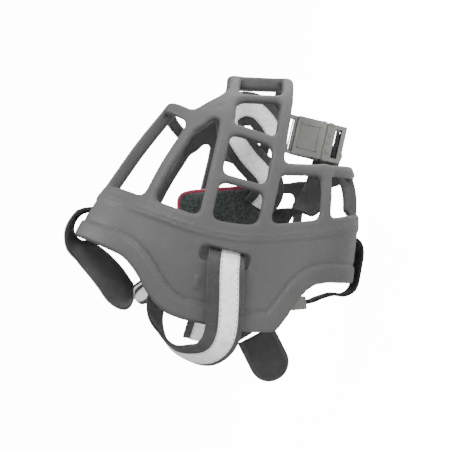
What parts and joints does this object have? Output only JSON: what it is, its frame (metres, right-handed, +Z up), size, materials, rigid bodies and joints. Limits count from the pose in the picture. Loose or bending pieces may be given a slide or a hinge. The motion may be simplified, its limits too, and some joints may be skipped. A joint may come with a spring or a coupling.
{
  "type": "basket muzzle",
  "caption": "Moulded rubber basket muzzle with an open cage, webbing neck, forehead and throat straps, reflective tape and a side-release buckle.",
  "frame": {"origin": "centre of the rear snout opening", "axes": "+X forward out of the nose end, +Y the dog's left, +Z up over the brow"},
  "size_m": [0.1684, 0.1311, 0.1669],
  "materials": {
    "cage_rubber": "matte moulded",
    "webbing": "ribbed weave",
    "reflective_tape": "retroreflective",
    "pad_fabric": "padded mesh",
    "piping": "bound edge",
    "strap_rubber": "matte",
    "buckle_plastic": "fine texture"
  },
  "bodies": {
    "basket": {"cheek_panel_right": "cage_rubber", "cheek_panel_left": "cage_rubber", "brow_panel": "cage_rubber", "chin_panel": "cage_rubber", "brow_strut": "cage_rubber", "chin_strut": "cage_rubber", "side_strut_right": "cage_rubber", "side_strut_left": "cage_rubber", "jaw_strut_right": "cage_rubber", "jaw_strut_left": "cage_rubber", "upper_rail_right": "cage_rubber", "upper_rail_front": "cage_rubber", "upper_rail_left": "cage_rubber", "lower_rail_right": "cage_rubber", "lower_rail_front": "cage_rubber", "lower_rail_left": "cage_rubber", "rung_rear_right": "cage_rubber", "rung_rear_left": "cage_rubber", "rung_front_right": "cage_rubber", "rung_front_left": "cage_rubber", "side_bar_right": "cage_rubber", "side_bar_left": "cage_rubber", "nose_bar": "cage_rubber", "brow_hoop": "cage_rubber", "shoulder_right": "cage_rubber", "shoulder_left": "cage_rubber", "chin_hoop_right": "cage_rubber", "chin_hoop_left": "cage_rubber", "neck_strap_right": "webbing", "neck_strap_left": "webbing", "forehead_strap": "webbing", "throat_strap": "webbing", "socket_strap": "webbing", "plug_strap": "webbing", "tail_strap": "webbing", "neck_tape_right": "reflective_tape", "neck_tape_left": "reflective_tape", "forehead_tape": "reflective_tape", "throat_tape": "reflective_tape", "socket_tape": "reflective_tape", "neck_pad": "pad_fabric", "pad_piping": "piping", "buckle_socket": "buckle_plastic"},
    "plug": {"buckle_plug": "buckle_plastic"},
    "prong_front": {"prong_front": "buckle_plastic"},
    "prong_rear": {"prong_rear": "buckle_plastic"},
    "tail": {"strap_tail": "webbing"},
    "slider": {"tri_glide": "buckle_plastic"},
    "keeper": {"keeper_loop": "strap_rubber"}
  },
  "joints": [
    {"name": "buckle_release", "type": "slide", "parent": "basket", "child": "plug", "axis": [0, 0, -1], "range_m": [0, 0.026], "deforming": ["plug_strap"]},
    {"name": "prong_front_squeeze", "type": "hinge", "parent": "plug", "child": "prong_front", "pos_m": [0.086, 0.005, -0.047], "axis": [0, -1, 0], "range_deg": [0, 12], "stiffness_Nm_per_rad": 0.05},
    {"name": "prong_rear_squeeze", "type": "hinge", "parent": "plug", "child": "prong_rear", "pos_m": [0.074, 0.005, -0.047], "axis": [0, -1, 0], "range_deg": [-12, 0], "stiffness_Nm_per_rad": 0.05},
    {"name": "tail_swing", "type": "hinge", "parent": "basket", "child": "tail", "pos_m": [-0.036, -0.028, -0.029], "axis": [-0.64, 0, 0.7684], "range_deg": [-20, 25], "stiffness_Nm_per_rad": 0.004},
    {"name": "slider_slide", "type": "slide", "parent": "basket", "child": "slider", "axis": [-0.3156, 0, 0.9489], "range_m": [-0.002, 0.002]},
    {"name": "keeper_slide", "type": "slide", "parent": "basket", "child": "keeper", "axis": [1, 0, 0], "range_m": [-0.006, 0.006]}
  ],
  "couplings": [
    {"joint": "prong_rear_squeeze", "follows": "prong_front_squeeze", "ratio": -1}
  ]
}
